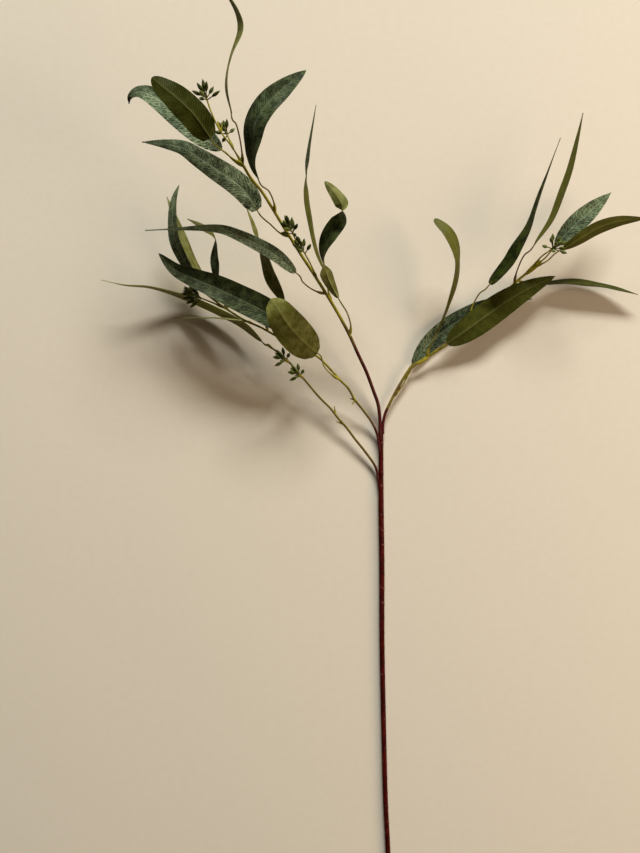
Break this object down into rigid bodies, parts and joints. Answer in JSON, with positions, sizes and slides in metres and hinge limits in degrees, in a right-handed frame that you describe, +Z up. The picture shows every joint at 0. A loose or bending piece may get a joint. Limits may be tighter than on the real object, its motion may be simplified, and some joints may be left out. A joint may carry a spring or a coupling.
{
  "type": "artificial eucalyptus branch",
  "caption": "Artificial willow eucalyptus branch lying on a surface: a wrapped stem with a wire core carries moulded sprigs of long narrow leaves and small bunches of buds.",
  "frame": {"origin": "middle of the branch's footprint, on the surface that it lies on", "axes": "+Y along the main stem from its cut end to the leaves, +X to the right seen from above, +Z up off the surface"},
  "size_m": [0.5335, 0.9057, 0.1297],
  "materials": {
    "stem_wrap": "matte",
    "wire": "satin",
    "sprig": "satin",
    "leaf": "matte",
    "buds": "satin"
  },
  "bodies": {
    "root": {"main_stem": "stem_wrap", "stem_wire": "wire", "top_sprig": "sprig", "left_sprig": "sprig", "low_sprig": "sprig", "right_sprig": "sprig", "top_leaf_1": "leaf", "top_leaf_2": "leaf", "top_leaf_3": "leaf", "top_leaf_4": "leaf", "top_leaf_5": "leaf", "top_leaf_6": "leaf", "top_leaf_7": "leaf", "top_leaf_8": "leaf", "left_leaf_1": "leaf", "left_leaf_2": "leaf", "left_leaf_3": "leaf", "left_leaf_4": "leaf", "left_leaf_5": "leaf", "left_leaf_6": "leaf", "left_leaf_7": "leaf", "low_leaf_1": "leaf", "right_leaf_1": "leaf", "right_leaf_2": "leaf", "right_leaf_3": "leaf", "right_leaf_4": "leaf", "right_leaf_5": "leaf", "right_leaf_6": "leaf", "right_leaf_7": "leaf", "right_leaf_8": "leaf", "top_buds_1": "buds", "top_buds_2": "buds", "top_buds_3": "buds", "top_buds_4": "buds", "left_buds_1": "buds", "left_buds_2": "buds", "low_buds_1": "buds", "low_buds_2": "buds", "right_buds_1": "buds"}
  },
  "joints": []
}
